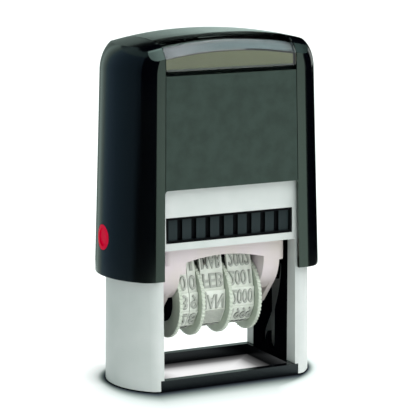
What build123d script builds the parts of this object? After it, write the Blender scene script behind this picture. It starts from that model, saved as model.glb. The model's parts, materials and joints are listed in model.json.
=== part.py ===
from build123d import *
import math
import os

# Self-inking date stamp: a press cap slides down over a standing frame, and the printing unit
# turns over on its way down. Millimetres. Origin: middle of the foot ring, on the table.
# X runs along the front, Y to the back, Z up.

# Printing unit: its heights set the travel of the cap
FACE_REST = 42.9            # height of the raised type when it is parked under the pad
FACE_RADIUS = 7.0           # flip axle to the raised type
AXLE_REST = FACE_REST - FACE_RADIUS
TRAVEL = AXLE_REST - FACE_RADIUS          # the type ends on the table

# Row of setting wheels: the widths of its bands set the widths of all that stands round it
BAND_WIDTHS = {"day_tens": 3.05, "day_ones": 2.65, "month": 7.4, "year": 8.0}
DISC = 1.0
BAND_GAP = 0.2              # beside a disc, and between the two day bands
WHEEL_GAP = 0.45            # from a disc to the next wheel's band
DRUM_PAST_BAND = 0.05
COLLAR = 1.65
COLLAR_GAP = 0.1
CHEEK = 1.3
CHEEK_GAP = 0.2
CHEEK_SPACE = 2.45          # behind the cheek, to the right end plate
END_PLATE = 1.45
ROW = (COLLAR + 2 * COLLAR_GAP + 4 * DISC + sum(BAND_WIDTHS.values()) + 5 * BAND_GAP + 2 * WHEEL_GAP
       + CHEEK_GAP + CHEEK + CHEEK_SPACE)
ROW_END = ROW / 2           # inner face of the right end plate

# Setting wheels and bands
WHEEL_BELOW_AXLE = 12.2
WHEEL_Z = AXLE_REST - WHEEL_BELOW_AXLE
WHEEL_R = 11.4
WHEEL_TEETH = 56
TOOTH = 0.3
TOOTH_TIP = 0.4             # share of the pitch
TOOTH_FLANK = 0.15          # the same
DRUM_R = 7.6
WHEEL_AXLE_R = 1.5
WHEEL_FIT = 0.06
BAND_FIT = 0.15
BAND_WALL = 0.8
TYPE_HEIGHT = 0.5
NOSE_HALF_FLAT = 2.2
NOSE_R = 1.9
COLLAR_R = 6.4
BRIDGE_OVER_WHEEL = 0.5
BRIDGE_UNDER_BAND = 0.05

# Printing unit housing
APRON_HALF_WIDTH = ROW_END + END_PLATE
APRON_R = 12.0
APRON_WALL = 1.2
APRON_END = 60.0            # degrees below the flip axle
BLOCK_PAST_APRON = 2.15
BLOCK_HALF_WIDTH = APRON_HALF_WIDTH + BLOCK_PAST_APRON
BLOCK_HALF_DEPTH = APRON_R
BLOCK_BELOW_AXLE = 0.9
BLOCK_BOTTOM = AXLE_REST - BLOCK_BELOW_AXLE
PLATE_BASE = 0.7
RELIEF = 0.6                # the raised rules of the text plate
BLOCK_TOP = FACE_REST - RELIEF - PLATE_BASE
BLOCK_CORNER_R = 2.2
BLOCK_WALL = 1.4
EYE_R = 3.9                 # round the wheel axle
ARCH_X = 0.0
ARCH_UNDER_TOP = 3.3
ARCH_DROP_LEFT = 1.5
ARCH_DROP_RIGHT = 1.9
ARCH_STEP = 1.85            # width of the low step at its left end
ARCH_STEP_DOWN = 3.4

# Text plate
PLATE_EDGE = 0.2            # in from the edge of the block
PLATE_CORNER_R = 1.0
RULE = 0.8                  # width of the raised border and rules
RULE_GAP = 1.6
WINDOW_GAP = 0.35

# Widths that follow from the block
LEG_GAP = BLOCK_HALF_WIDTH + 1.6          # half the space between the legs
FRAME_WALL = 1.6
SEAT_GAP = 0.1
CAM_WALL_INNER = LEG_GAP + SEAT_GAP
CAM_WALL_OUTER = LEG_GAP + FRAME_WALL
YOKE_CLEAR = 0.5
YOKE_INNER = CAM_WALL_OUTER + YOKE_CLEAR
YOKE_WALL = 1.8
YOKE_OUTER = YOKE_INNER + YOKE_WALL

# Press cap, outer form
CAP_LIFT = 4.1              # bottom edge above the table, with the cap pressed down
CAP_BOTTOM = TRAVEL + CAP_LIFT
CAP_HEIGHT = 70.4
CAP_TOP = CAP_BOTTOM + CAP_HEIGHT         # crown of the rounded top
SIDE_ROOM = 8.95            # from the yoke's arm to the cap's bowed side
CAP_HALF_WIDTH = YOKE_OUTER + SIDE_ROOM   # at the middle of the bowed side, bottom edge
CAP_HALF_DEPTH = BLOCK_HALF_DEPTH + 4.9
SIDE_BOW = 7.5              # at the bottom edge
CAP_CORNER_R = 5.0
FRONT_DRAFT = 0.0152        # mm inwards per mm of height: front, back and corners
SIDE_DRAFT = 0.037          # the same for the middle of the bowed sides
CROWN_R = 118.0             # arch of the top from side to side
CROWN_SWING = 80.0          # degrees that the arch is swung through
CROWN_CORE = 2.0            # the swung profile starts this far from its axis
ARCH_R = 90.0               # arch of the top from front to back
CREASE = CAP_TOP - 4.6      # top of the front face, where the sloped band starts
SLOPE = 52.0                # degrees of the sloped band above the crease
SLOPE_EDGE_R = 3.5
EAVE = 3.0                  # the sloped band is cut from a profile this much wider
SHOULDER_START = CAP_TOP - 11.4           # the sides bend in above this height
SHOULDER_ACROSS = 6.5
SHOULDER_UP = 9.0
SHOULDER_TURN = 80.0        # degrees of bend that the shoulder ends at
SHOULDER_STEPS = 6

# Press cap, walls and inlays
CAP_SIDE_WALL = 1.5
CAP_FRONT_WALL = 1.2
CAP_ROOF = 2.8
OPENING_HALF_WIDTH = LEG_GAP + 0.4        # front and rear openings, at the bottom edge
OPENING_HEIGHT = 26.2
OPENING_TOP = CAP_BOTTOM + OPENING_HEIGHT
OPENING_CORNER_R = 1.0
SEAM = 0.2                  # open joint round an inlaid plate
COVER_EDGE = CREASE - 5.7   # lower edges of the clear cover
COVER_GAP = 1.1
COVER_CORNER_R = 0.8
COVER_WALL = 1.2
CARD = 0.3
CARD_MARGIN = 0.5
CARD_GAP = 0.3              # card to cover
CARD_SEAT = 0.05            # card to cap
COVER_RECESS = COVER_WALL + CARD_GAP + CARD + CARD_SEAT

# Lock buttons
BUTTON_Z = CAP_BOTTOM + 11.2
BUTTON_R = 3.7
BUTTON_FIT = 0.1
BUTTON_LIP = 0.9
BUTTON_LIP_WALL = 0.6
BUTTON_DISH_R = 2.6
BUTTON_DISH = 0.4
LOCK_DROP = 5.0             # the cap is locked this far below rest
LOCK_SLOT_GAP = 0.4

# Ink cartridge and its bay in the frame
BAY_FLOOR = FACE_REST + 0.6
BAY_HEIGHT = 7.5
BAY_CEILING = BAY_FLOOR + BAY_HEIGHT
BAY_HALF_WIDTH = LEG_GAP - 1.0
TRAY_GAP = 0.1
TRAY_BOTTOM_GAP = 0.05
PAD_EDGE = 0.7              # wall of the tray beside the pad
PAD_HALF_DEPTH = BLOCK_HALF_DEPTH + 0.2
PAD_THICK = 3.4
PAD_RECESS = 0.1
PAD_FIT = 0.05
GRIP_GROOVES = 8
GRIP_PITCH = 4.5
GRIP_GROOVE_R = 0.8
GRIP_RECESS = 0.9
GRIP_LIP = 0.6              # rim above and below the ribs
GRIP_RIM = 0.7              # rim beside them

# Standing frame
FOOT_CLEAR = 0.3
FRAME_CORNER_R = 3.8
FRAME_FRONT_CLEAR = 0.27    # to the pressed cap, front and back
FRAME_FOOT_CLEAR = 1.45     # to the pressed cap, at the sides
FRAME_BAY_CLEAR = 0.4
FRAME_TOP_CLEAR = 0.6
FRONT_FLANGE_EDGE = -10.3
REAR_FLANGE_EDGE = 11.5
BAR_HEIGHT = 2.1
BAR_BOTTOM = BAY_FLOOR - BAR_HEIGHT
BAR_INNER = BLOCK_HALF_DEPTH + 1.3
DECK = 1.6
DECK_TOP = BAY_CEILING + DECK
FRAME_TOP = DECK_TOP + 9.4
ROOF_START = FRAME_TOP + TRAVEL + 0.4     # the cap's walls are as thick as its roof above this

# Foot ring and cam walls
RING_HEIGHT = 3.3
RING_HALF_WIDTH = LEG_GAP + 1.0
RING_INNER_X = BLOCK_HALF_WIDTH + 0.4
RING_INNER_Y = BLOCK_HALF_DEPTH + 1.1
STUB_R = 2.0
STUB_END = YOKE_OUTER - 0.1
PIN_R = 1.3
PIN_ORBIT = 5.0
PIN_END = CAM_WALL_OUTER - 0.1
SLOT_CLEAR = 0.3
TRACK_POINTS = 24

# Yoke that hangs from the roof and carries the flip axle, and the return spring between it and the deck
YOKE_ARM_HALF = 4.5
YOKE_PLATE_HALF = 8.0
YOKE_PLATE = 2.0
YOKE_PLATE_TOP = CAP_TOP - 9.0
YOKE_PLATE_BOTTOM = YOKE_PLATE_TOP - YOKE_PLATE
YOKE_BELOW_AXLE = 4.3
AXLE_FIT = 0.08
POST_R = 2.5
POST_X = 16.0
POST_Y = 5.0
ARM_SLOT_GAP = 0.6
SPRING_R = 6.5
SPRING_WIRE_R = 0.6
SPRING_TURNS = 8
SPRING_END_GAP = 0.1
SPRING_POCKET = 0.6         # round seat in the deck
SPIGOT_GAP = 0.4
SPIGOT = 3.0
SPIGOT_R = SPRING_R - SPRING_WIRE_R - SPIGOT_GAP

BIG = 200.0                 # cutting blocks reach past everything


def box(x0, x1, y0, y1, z0, z1):
    """A block between two corners."""
    middle = ((x0 + x1) / 2, (y0 + y1) / 2, (z0 + z1) / 2)
    return Pos(*middle) * Box(x1 - x0, y1 - y0, z1 - z0)


def rod(radius, x0, x1, y, z):
    """A round bar along X."""
    return Pos((x0 + x1) / 2, y, z) * Rot(0, 90, 0) * Cylinder(radius, x1 - x0)


def both_sides(solid):
    """A piece and its mirror image on the left."""
    return solid + solid.mirror(Plane.YZ)


def plan(half_width, half_depth, bow, corner_r):
    """The outline seen from above: straight front and back, bowed sides, rounded corners."""
    corner = half_width - bow
    right = ThreePointArc((corner, -half_depth), (half_width, 0), (corner, half_depth))
    left = ThreePointArc((-corner, half_depth), (-half_width, 0), (-corner, -half_depth))
    back = Line((corner, half_depth), (-corner, half_depth))
    front = Line((-corner, -half_depth), (corner, -half_depth))
    face = make_face([right, back, left, front])
    return fillet(face.vertices(), corner_r)


def side_x(z, wall):
    """The cap's half width at a height, at the middle of the bowed side, less a wall."""
    return CAP_HALF_WIDTH - (z - CAP_BOTTOM) * SIDE_DRAFT - wall


def side_bow(z):
    """How far the side bulges past its corners at a height."""
    return SIDE_BOW - (z - CAP_BOTTOM) * (SIDE_DRAFT - FRONT_DRAFT)


def front_y(z, wall):
    """The cap's half depth at a height, less a wall."""
    return CAP_HALF_DEPTH - (z - CAP_BOTTOM) * FRONT_DRAFT - wall


def cap_plan(z, side, front, bend=0.0):
    """The cap's outline at a height, moved in by a side and a front wall, and by the shoulder's bend."""
    corner_r = CAP_CORNER_R - min(side, front)
    return Pos(0, 0, z) * plan(side_x(z, side + bend), front_y(z, front), side_bow(z), corner_r)


def cap_body(side, front, z0, z1):
    return loft([cap_plan(z0, side, front), cap_plan(z1, side, front)], ruled=True)


def crown(inset):
    """The rounded top: a front-to-back profile swung about a line along Y, far below."""
    slope = math.radians(SLOPE)
    half = front_y(CREASE, inset)
    crease = CREASE - inset * (1 - math.sin(slope)) / math.cos(slope)
    axis_z = CAP_TOP - CROWN_R
    low = axis_z + CROWN_CORE
    eave = crease - EAVE * math.tan(slope)
    ridge = crease + half * math.tan(slope)
    reach = half + EAVE
    house = Polygon((-reach, eave), (0, ridge), (reach, eave), (reach, low), (-reach, low), align=None)
    arch_z = CAP_TOP - ARCH_R
    under_arch = Polygon((-reach, low), (reach, low), (reach, arch_z), (-reach, arch_z), align=None)
    profile = house & (Pos(0, arch_z) * Circle(ARCH_R - inset) + under_arch)
    edges = [v for v in profile.vertices() if v.Y > crease]
    profile = fillet(edges, SLOPE_EDGE_R)
    axis = Axis((0, 0, axis_z), (0, 1, 0))
    return revolve(Plane.YZ * profile, axis=axis, revolution_arc=CROWN_SWING).rotate(axis, -CROWN_SWING / 2)


def shoulders(side, front, roof):
    """The top of the body, whose sides bend in along a quarter ellipse."""
    sections = []
    for i in range(SHOULDER_STEPS):
        angle = math.radians(SHOULDER_TURN * i / (SHOULDER_STEPS - 1))
        z = SHOULDER_START - roof + SHOULDER_UP * math.sin(angle)
        sections.append(cap_plan(z, side, front, SHOULDER_ACROSS * (1 - math.cos(angle))))
    return loft(sections) + extrude(sections[-1], CAP_TOP + 1 - z)


def hood(side, front, roof):
    """The cap's form, moved in by its walls."""
    body = cap_body(side, front, CAP_BOTTOM, SHOULDER_START - roof) + shoulders(side, front, roof)
    return body & crown(roof)


def above(z):
    return box(-BIG, BIG, -BIG, BIG, z, BIG)


def opening(gap, z0, z1, corner_r=0.0):
    """The tapered gap between the cap's front rails, right through from front to back."""
    low = OPENING_HALF_WIDTH - (z0 - CAP_BOTTOM) * FRONT_DRAFT - gap
    high = OPENING_HALF_WIDTH - (z1 - CAP_BOTTOM) * FRONT_DRAFT - gap
    outline = Polygon((-low, z0), (low, z0), (high, z1), (-high, z1), align=None)
    if corner_r > 0:
        outline = fillet(outline.vertices().sort_by(Axis.Y)[-2:], corner_r)
    return extrude(Plane.XZ * outline, BIG / 2, both=True)


def cover_zone(gap, z0):
    half = OPENING_HALF_WIDTH - (COVER_EDGE - CAP_BOTTOM) * FRONT_DRAFT - gap
    return box(-half, half, -BIG, BIG, z0, BIG)


def cap_core():
    """The space inside the front wall, for cutting through or keeping that wall alone."""
    return cap_body(CAP_SIDE_WALL, CAP_FRONT_WALL, CAP_BOTTOM - 2, CAP_TOP)


def cap_shell():
    shell = hood(0, 0, 0)
    shell -= cap_body(CAP_SIDE_WALL, CAP_FRONT_WALL, CAP_BOTTOM, ROOF_START)
    shell -= hood(CAP_ROOF, CAP_ROOF, CAP_ROOF) & above(ROOF_START)
    shell -= opening(0, CAP_BOTTOM - 1, OPENING_TOP, OPENING_CORNER_R)
    panel_top = COVER_EDGE - COVER_GAP
    shell -= opening(0, OPENING_TOP, panel_top) - cap_core()
    under_card = hood(COVER_RECESS, COVER_RECESS, COVER_RECESS)
    shell -= cover_zone(0, panel_top) - under_card
    height = CAP_TOP - YOKE_PLATE_TOP
    for y in (-POST_Y, POST_Y):
        post = Pos(POST_X, y, YOKE_PLATE_TOP + height / 2) * Cylinder(POST_R, height)
        shell += both_sides(post & under_card)
    return shell - rod(BUTTON_R + BUTTON_FIT, -CAP_HALF_WIDTH, CAP_HALF_WIDTH, 0, BUTTON_Z)


def front_panel():
    """The inlaid plate of the cap's front wall."""
    top = COVER_EDGE - COVER_GAP - SEAM
    plate = cap_body(0, 0, OPENING_TOP, COVER_EDGE) & opening(SEAM, OPENING_TOP, top)
    return (plate - cap_core()) & box(-BIG, BIG, -BIG, 0, 0, BIG)


def cover_window():
    zone = cover_zone(SEAM, COVER_EDGE)
    zone = fillet(zone.edges().filter_by(Axis.Y).sort_by(Axis.Z)[:2], COVER_CORNER_R)
    return (hood(0, 0, 0) & zone) - hood(COVER_WALL, COVER_WALL, COVER_WALL)


def label_card():
    top = COVER_WALL + CARD_GAP
    under = top + CARD
    zone = cover_zone(SEAM + CARD_MARGIN, COVER_EDGE + CARD_MARGIN)
    return (hood(top, top, top) & zone) - hood(under, under, under)


def lock_button():
    """The right-hand button: a dished head flush with the cap's side, and a lip behind the wall."""
    outside = side_x(BUTTON_Z, 0)
    inside = side_x(BUTTON_Z, CAP_SIDE_WALL) - BUTTON_FIT - BUTTON_LIP_WALL
    head = rod(BUTTON_R, inside, CAP_HALF_WIDTH, 0, BUTTON_Z) & hood(0, 0, 0)
    head -= rod(BUTTON_DISH_R, outside - BUTTON_DISH, CAP_HALF_WIDTH, 0, BUTTON_Z)
    lip = rod(BUTTON_R + BUTTON_LIP, inside, CAP_HALF_WIDTH, 0, BUTTON_Z)
    lip &= cap_body(CAP_SIDE_WALL + BUTTON_FIT, CAP_FRONT_WALL, CAP_BOTTOM, SHOULDER_START)
    return head + lip


def frame_plan(z, clear, inset):
    """The frame's outline at a height, from the pressed cap around it."""
    pressed = z + TRAVEL
    half_width = side_x(pressed, CAP_SIDE_WALL) - clear - inset
    half_depth = front_y(pressed, CAP_FRONT_WALL) - FRAME_FRONT_CLEAR - inset
    return Pos(0, 0, z) * plan(half_width, half_depth, side_bow(pressed), FRAME_CORNER_R - inset)


def frame_form(inset):
    foot = frame_plan(FOOT_CLEAR, FRAME_FOOT_CLEAR, inset)
    bay = frame_plan(BAR_BOTTOM, FRAME_BAY_CLEAR, inset)
    top = frame_plan(FRAME_TOP, FRAME_TOP_CLEAR, inset)
    return loft([foot, bay], ruled=True) + loft([bay, top], ruled=True)


def frame_shell():
    outer = frame_form(0)
    shell = outer - frame_form(FRAME_WALL)
    shell -= box(-LEG_GAP, LEG_GAP, -BIG, BIG, -1, BAR_BOTTOM)
    shell -= box(-BAY_HALF_WIDTH, BAY_HALF_WIDTH, -BIG, BIG, BAY_FLOOR, BAY_CEILING)
    inner_walls = both_sides(
        box(LEG_GAP, CAM_WALL_OUTER, -BIG, FRONT_FLANGE_EDGE, 0, BAR_BOTTOM)
        + box(LEG_GAP, CAM_WALL_OUTER, REAR_FLANGE_EDGE, BIG, 0, BAR_BOTTOM)
        + box(BAY_HALF_WIDTH, CAM_WALL_OUTER, -BIG, BIG, BAR_BOTTOM, BAY_CEILING))
    bars = (box(-LEG_GAP, LEG_GAP, -BIG, -BAR_INNER, BAR_BOTTOM, BAY_FLOOR)
            + box(-LEG_GAP, LEG_GAP, BAR_INNER, BIG, BAR_BOTTOM, BAY_FLOOR))
    arm_half = YOKE_ARM_HALF + ARM_SLOT_GAP
    arm_slot = box(YOKE_INNER - ARM_SLOT_GAP, YOKE_OUTER + ARM_SLOT_GAP, -arm_half, arm_half, 0, BIG)
    deck = box(-BIG, BIG, -BIG, BIG, BAY_CEILING, DECK_TOP) - both_sides(arm_slot)
    shell += outer & (inner_walls + bars + deck)
    shell -= Pos(0, 0, DECK_TOP) * Cylinder(SPRING_R + SPRING_WIRE_R + SPIGOT_GAP, 2 * SPRING_POCKET)
    notch = RING_HALF_WIDTH + SEAT_GAP
    shell -= box(-notch, notch, -BIG, BIG, -1, RING_HEIGHT + SEAT_GAP)
    lip = BUTTON_R + BUTTON_LIP + LOCK_SLOT_GAP
    upright_slot = Rot(0, 0, 90) * SlotCenterToCenter(LOCK_DROP, 2 * lip)
    lock_slot = Plane.YZ * Pos(0, BUTTON_Z - LOCK_DROP / 2) * upright_slot
    return shell - both_sides(Pos(CAM_WALL_OUTER, 0, 0) * extrude(lock_slot, BIG / 2))


def cam_wall_box(z0, z1):
    front = FRONT_FLANGE_EDGE + SEAT_GAP
    rear = REAR_FLANGE_EDGE - SEAT_GAP
    return box(CAM_WALL_INNER, CAM_WALL_OUTER, front, rear, z0, z1)


def base_ring():
    half_depth = front_y(FOOT_CLEAR + TRAVEL, CAP_FRONT_WALL) - FRAME_FRONT_CLEAR
    ring = box(-RING_HALF_WIDTH, RING_HALF_WIDTH, -half_depth, half_depth, 0, RING_HEIGHT)
    ring += both_sides(cam_wall_box(0, RING_HEIGHT))
    return ring - box(-RING_INNER_X, RING_INNER_X, -RING_INNER_Y, RING_INNER_Y, -1, BIG)


def pin_path(share):
    """Where the flip pin is when the cap has gone down by a share of its travel: Y, Z."""
    turn = math.pi * share
    return -PIN_ORBIT * math.cos(turn), AXLE_REST - TRAVEL * share - PIN_ORBIT * math.sin(turn)


def pin_track(half):
    """The curved track that the flip pin runs in, seen from the side."""
    left = []
    right = []
    for i in range(TRACK_POINTS + 1):
        share = i / TRACK_POINTS
        y, z = pin_path(share)
        turn = math.pi * share
        along_y = math.pi * PIN_ORBIT * math.sin(turn)
        along_z = -TRAVEL - math.pi * PIN_ORBIT * math.cos(turn)
        length = math.hypot(along_y, along_z)
        aside_y = along_z / length * half
        aside_z = along_y / length * half
        left.append((y + aside_y, z - aside_z))
        right.append((y - aside_y, z + aside_z))
    return make_face([Spline(left), Line(left[-1], right[-1]), Spline(right), Line(right[0], left[0])])


def cam_wall():
    """The right-hand cam wall, with the axle's slot and the pin's track."""
    wall = cam_wall_box(RING_HEIGHT, BAR_BOTTOM - SEAT_GAP)
    slot_half = STUB_R + SLOT_CLEAR
    axle_end = AXLE_REST - TRAVEL
    wall -= box(0, BIG, -slot_half, slot_half, axle_end, AXLE_REST)
    wall -= rod(slot_half, 0, BIG, 0, axle_end)
    wall -= rod(slot_half, 0, BIG, 0, AXLE_REST)
    track_half = PIN_R + SLOT_CLEAR
    wall -= extrude(Plane.YZ * pin_track(track_half), BIG)
    for share in (0, 1):
        wall -= rod(track_half, 0, BIG, *pin_path(share))
    return wall


def yoke():
    half = YOKE_PLATE_HALF
    plate = box(-YOKE_OUTER, YOKE_OUTER, -half, half, YOKE_PLATE_BOTTOM, YOKE_PLATE_TOP)
    foot = AXLE_REST - YOKE_BELOW_AXLE
    arm = box(YOKE_INNER, YOKE_OUTER, -YOKE_ARM_HALF, YOKE_ARM_HALF, foot, YOKE_PLATE_TOP)
    arm -= rod(STUB_R + AXLE_FIT, 0, BIG, 0, AXLE_REST)
    return plate + both_sides(arm) + Pos(0, 0, YOKE_PLATE_BOTTOM - SPIGOT / 2) * Cylinder(SPIGOT_R, SPIGOT)


def return_spring():
    low = DECK_TOP - SPRING_POCKET + SPRING_END_GAP + SPRING_WIRE_R
    high = YOKE_PLATE_BOTTOM - SPRING_END_GAP - SPRING_WIRE_R
    path = Pos(0, 0, low) * Helix((high - low) / SPRING_TURNS, high - low, SPRING_R)
    return sweep(Plane(path @ 0, z_dir=path % 0) * Circle(SPRING_WIRE_R), path)


def pad_box(fit, z0, z1):
    half = BAY_HALF_WIDTH - PAD_EDGE + fit
    return box(-half, half, -PAD_HALF_DEPTH - fit, PAD_HALF_DEPTH + fit, z0, z1)


def ink_tray():
    half = BAY_HALF_WIDTH - TRAY_GAP
    low = BAY_FLOOR + TRAY_BOTTOM_GAP
    high = BAY_CEILING - TRAY_GAP
    depth = front_y(BAY_CEILING + TRAVEL, CAP_FRONT_WALL) - FRAME_FRONT_CLEAR
    face = depth - GRIP_RECESS
    grip_low = low + GRIP_LIP
    grip_high = high - GRIP_LIP
    tray = box(-half, half, -depth, depth, low, high)
    tray -= pad_box(PAD_FIT, low - 1, low + PAD_RECESS + PAD_THICK)
    grip = box(GRIP_RIM - half, half - GRIP_RIM, face, BIG, grip_low, grip_high)
    for i in range(GRIP_GROOVES):
        x = (i - (GRIP_GROOVES - 1) / 2) * GRIP_PITCH
        grip += Pos(x, face, (grip_low + grip_high) / 2) * Cylinder(GRIP_GROOVE_R, grip_high - grip_low)
    return tray - grip - grip.mirror(Plane.XZ)


def ink_pad():
    low = BAY_FLOOR + TRAY_BOTTOM_GAP + PAD_RECESS
    return pad_box(0, low, low + PAD_THICK)


def wheel_row():
    """Where each wheel's disc and band lie along X: disc centre, band's left and right edge."""
    x = -ROW_END + COLLAR + 2 * COLLAR_GAP
    row = {"day_tens": (x + DISC / 2, x + DISC + BAND_GAP, x + DISC + BAND_GAP + BAND_WIDTHS["day_tens"])}
    x = row["day_tens"][2] + BAND_GAP
    for name in ("day_ones", "month", "year"):
        edge = x + BAND_WIDTHS[name]
        disc = edge + BAND_GAP + DISC / 2
        row[name] = (disc, x, edge)
        x = disc + DISC / 2 + WHEEL_GAP
    return row


def nose_z():
    return FACE_REST - TYPE_HEIGHT - BAND_WALL - NOSE_R


def band_outline(grow):
    """The path of a band round the drum and the nose, seen from the side, moved out by grow."""
    circles = [Pos(0, WHEEL_Z) * Circle(DRUM_R + BAND_FIT + grow)]
    for y in (-NOSE_HALF_FLAT, NOSE_HALF_FLAT):
        circles.append(Pos(y, nose_z()) * Circle(NOSE_R + grow))
    return make_hull([edge for circle in circles for edge in circle.edges()])


def band(x0, x1):
    loop = band_outline(BAND_WALL) - band_outline(0)
    return Pos(x0, 0, 0) * extrude(Plane.YZ * loop, x1 - x0)


def window_box(gap, z0, z1):
    """The hole that the type of the bands comes through."""
    row = wheel_row()
    half = NOSE_HALF_FLAT + NOSE_R + BAND_WALL + gap
    return box(row["day_tens"][1] - WINDOW_GAP, row["year"][2] + WINDOW_GAP, -half, half, z0, z1)


def bridge_bar(grow):
    """The bar that spreads the bands at the nose and keeps them off the wheels."""
    half = NOSE_HALF_FLAT + NOSE_R + grow
    low = WHEEL_Z + WHEEL_R + BRIDGE_OVER_WHEEL
    high = nose_z() + NOSE_R - BRIDGE_UNDER_BAND
    end = ROW_END - SEAT_GAP
    bar = box(-end, end, -half, half, low - grow, high + grow)
    top = bar.edges().filter_by(Axis.X).sort_by(Axis.Z)[-2:]
    return fillet(top, NOSE_R)


def end_plates():
    """The outer plates and the cheek, seen from the side: the apron's circle drawn down to the eye."""
    eye = Pos(0, WHEEL_Z) * Circle(EYE_R)
    outer = make_hull((Pos(0, AXLE_REST) * Circle(APRON_R)).edges() + eye.edges())
    inner = make_hull((Pos(0, AXLE_REST) * Circle(APRON_R - APRON_WALL / 2)).edges() + eye.edges())
    plates = both_sides(Pos(ROW_END, 0, 0) * extrude(Plane.YZ * outer, END_PLATE))
    plates += Pos(ROW_END - CHEEK_SPACE - CHEEK, 0, 0) * extrude(Plane.YZ * inner, CHEEK)
    top = BLOCK_TOP - BLOCK_WALL / 2
    half_depth = BLOCK_HALF_DEPTH - BLOCK_WALL / 2
    room = box(-BIG, BIG, -BIG, BIG, 0, BLOCK_BOTTOM) + box(-BIG, BIG, -half_depth, half_depth, 0, top)
    return plates & room


def carrier_housing():
    half_x = BLOCK_HALF_WIDTH
    half_y = BLOCK_HALF_DEPTH
    block = box(-half_x, half_x, -half_y, half_y, BLOCK_BOTTOM, BLOCK_TOP)
    block = fillet(block.edges().filter_by(Axis.Z), BLOCK_CORNER_R)
    inner_x = half_x - BLOCK_WALL
    inner_y = half_y - BLOCK_WALL
    block -= box(-inner_x, inner_x, -inner_y, inner_y, 0, BLOCK_TOP - BLOCK_WALL)
    apron = rod(APRON_R, -half_x, APRON_HALF_WIDTH, 0, AXLE_REST)
    apron -= rod(APRON_R - APRON_WALL, -half_x, APRON_HALF_WIDTH, 0, AXLE_REST)
    apron_low = AXLE_REST - APRON_R * math.sin(math.radians(APRON_END))
    housing = block + (apron & box(-BIG, BIG, -BIG, BIG, apron_low, BLOCK_BOTTOM + BLOCK_WALL)) + end_plates()
    housing -= extrude(Plane.XZ * arch(), BIG / 2, both=True)
    housing -= window_box(TYPE_HEIGHT + WINDOW_GAP, BLOCK_TOP - BLOCK_WALL - 1, BIG)
    housing -= bridge_bar(SEAT_GAP)
    housing -= rod(COLLAR_R + COLLAR_GAP, -ROW_END, 0, 0, WHEEL_Z)
    housing += both_sides(rod(STUB_R, ROW_END, STUB_END, 0, AXLE_REST))
    housing += both_sides(rod(PIN_R, ROW_END, PIN_END, -PIN_ORBIT, AXLE_REST))
    return housing - rod(WHEEL_AXLE_R, -BIG / 2, BIG / 2, 0, WHEEL_Z)


def arch():
    """The arched opening in front of the wheels, seen from the front."""
    left = -ROW_END + COLLAR
    right = ROW_END - CHEEK_SPACE - CHEEK
    top = BLOCK_TOP - ARCH_UNDER_TOP
    left_z = top - ARCH_DROP_LEFT
    right_z = top - ARCH_DROP_RIGHT
    step = left + ARCH_STEP
    step_z = left_z - ARCH_STEP_DOWN
    curve = ThreePointArc((step, left_z), (ARCH_X, top), (right, right_z))
    rest = Polyline((right, right_z), (right, 0), (left, 0), (left, step_z), (step, step_z), (step, left_z))
    return make_face([curve, *rest.edges()])


def text_plate():
    half_x = BLOCK_HALF_WIDTH - PLATE_EDGE
    half_y = BLOCK_HALF_DEPTH - PLATE_EDGE
    plate = box(-half_x, half_x, -half_y, half_y, BLOCK_TOP, FACE_REST)
    plate = fillet(plate.edges().filter_by(Axis.Z), PLATE_CORNER_R)
    inner_x = half_x - RULE
    inner_y = half_y - RULE
    face = BLOCK_TOP + PLATE_BASE
    plate -= box(-inner_x, inner_x, -inner_y, inner_y, face, FACE_REST)
    rule_y = NOSE_HALF_FLAT + NOSE_R + BAND_WALL + WINDOW_GAP + RULE_GAP
    rule_x = inner_x - RULE_GAP
    rule = box(-rule_x, rule_x, rule_y - RULE / 2, rule_y + RULE / 2, face, FACE_REST)
    plate += rule + rule.mirror(Plane.XZ)
    return plate - window_box(WINDOW_GAP, 0, BIG)


def wheel(disc_x, band_x0, band_x1):
    """A toothed disc and the drum beside it, on one bore."""
    points = []
    half = TOOTH_TIP / 2
    for i in range(WHEEL_TEETH):
        for share, radius in ((-half, WHEEL_R), (half, WHEEL_R),
                              (half + TOOTH_FLANK, WHEEL_R - TOOTH),
                              (1 - half - TOOTH_FLANK, WHEEL_R - TOOTH)):
            angle = 2 * math.pi * (i + share) / WHEEL_TEETH
            points.append((radius * math.cos(angle), radius * math.sin(angle)))
    disc = Pos(disc_x - DISC / 2, 0, WHEEL_Z) * extrude(Plane.YZ * Polygon(*points, align=None), DISC)
    drum_x0 = min(disc_x, band_x0 - DRUM_PAST_BAND)
    drum_x1 = max(disc_x, band_x1 + DRUM_PAST_BAND)
    solid = disc + rod(DRUM_R, drum_x0, drum_x1, 0, WHEEL_Z)
    return solid - rod(WHEEL_AXLE_R + WHEEL_FIT, -BIG / 2, BIG / 2, 0, WHEEL_Z)


def wheel_axle():
    return rod(WHEEL_AXLE_R, -APRON_HALF_WIDTH, APRON_HALF_WIDTH, 0, WHEEL_Z)


def axle_collar():
    """The collar that keeps the first wheel off the left end plate."""
    left = -ROW_END + COLLAR_GAP
    collar = rod(COLLAR_R, left, left + COLLAR, 0, WHEEL_Z)
    return collar - rod(WHEEL_AXLE_R + WHEEL_FIT, -BIG / 2, BIG / 2, 0, WHEEL_Z)


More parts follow.
